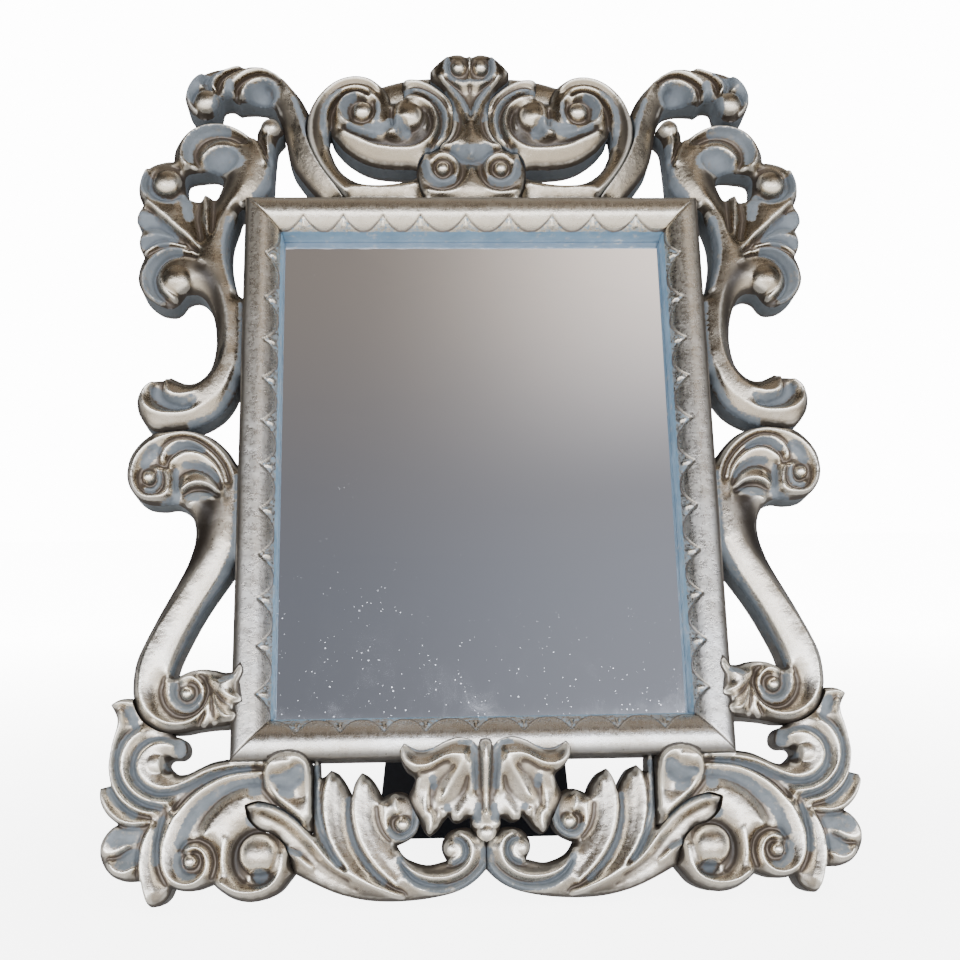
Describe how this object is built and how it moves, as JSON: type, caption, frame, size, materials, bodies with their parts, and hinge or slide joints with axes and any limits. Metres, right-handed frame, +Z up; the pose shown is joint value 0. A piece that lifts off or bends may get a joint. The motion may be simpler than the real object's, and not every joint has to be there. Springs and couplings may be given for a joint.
{
  "type": "countertop mirror",
  "caption": "Standing mirror in a mitred moulding with carved silver-leaf scrolls all round, held at a lean by a folding strut.",
  "frame": {"origin": "middle of the object's footprint, on the table it stands on", "axes": "+Z up, -Y to the front, where the mirror faces, +X to the viewer's right, across the object's symmetry plane"},
  "size_m": [0.35, 0.1345, 0.4218],
  "materials": {
    "silvered_carving": "carved wood in brushed champagne-silver leaf, grey-blue wash in the recesses",
    "silvered_moulding": "wood moulding in brushed champagne-silver leaf, grey-blue wash at the sight edge",
    "mirror": "silvered float glass, light dust and smears",
    "card": "grey-brown backing card",
    "black_board": "black-faced fibreboard",
    "black_strut": "satin black fibreboard",
    "hinge_steel": "plated steel",
    "button_steel": "zinc-plated steel",
    "screw_steel": "zinc-plated steel",
    "nail_steel": "bare steel"
  },
  "bodies": {
    "frame": {"moulding_top": "silvered_moulding", "moulding_bottom": "silvered_moulding", "moulding_left": "silvered_moulding", "moulding_right": "silvered_moulding", "corner_v_nails": "nail_steel", "crest_centre": "silvered_carving", "crest_scroll_left": "silvered_carving", "crest_scroll_right": "silvered_carving", "corner_scroll_left": "silvered_carving", "corner_scroll_right": "silvered_carving", "upper_side_scroll_left": "silvered_carving", "upper_side_scroll_right": "silvered_carving", "lower_side_scroll_left": "silvered_carving", "lower_side_scroll_right": "silvered_carving", "base_corner_left": "silvered_carving", "base_corner_right": "silvered_carving", "base_leaf_left": "silvered_carving", "base_leaf_right": "silvered_carving", "apron_centre_leaf": "silvered_carving", "mirror_glass": "mirror", "backing_card": "card", "back_board": "black_board", "turn_button_screws": "screw_steel", "hinge_board_leaf": "hinge_steel", "hinge_pin": "hinge_steel", "hinge_board_screws": "screw_steel"},
    "strut_leg": {"hinge_strut_leaf": "hinge_steel", "hinge_strut_rivets": "screw_steel", "strut": "black_strut"},
    "button_upper_left": {"turn_button_upper_left": "button_steel"},
    "button_upper_right": {"turn_button_upper_right": "button_steel"},
    "button_lower_left": {"turn_button_lower_left": "button_steel"},
    "button_lower_right": {"turn_button_lower_right": "button_steel"}
  },
  "joints": [
    {"name": "strut_fold", "type": "hinge", "parent": "frame", "child": "strut_leg", "pos_m": [0, 0.01877, 0.23329], "axis": [1, 0, 0], "range_deg": [-25, 0]},
    {"name": "turn_button_upper_left_swivel", "type": "hinge", "parent": "frame", "child": "button_upper_left", "pos_m": [-0.1095, 0.02557, 0.26253], "axis": [0, -0.9659, 0.2588], "range_deg": [-90, 90]},
    {"name": "turn_button_upper_right_swivel", "type": "hinge", "parent": "frame", "child": "button_upper_right", "pos_m": [0.1095, 0.02557, 0.26253], "axis": [0, -0.9659, 0.2588], "range_deg": [-90, 90]},
    {"name": "turn_button_lower_left_swivel", "type": "hinge", "parent": "frame", "child": "button_lower_left", "pos_m": [-0.1095, -0.01067, 0.1273], "axis": [0, -0.9659, 0.2588], "range_deg": [-90, 90]},
    {"name": "turn_button_lower_right_swivel", "type": "hinge", "parent": "frame", "child": "button_lower_right", "pos_m": [0.1095, -0.01067, 0.1273], "axis": [0, -0.9659, 0.2588], "range_deg": [-90, 90]}
  ]
}
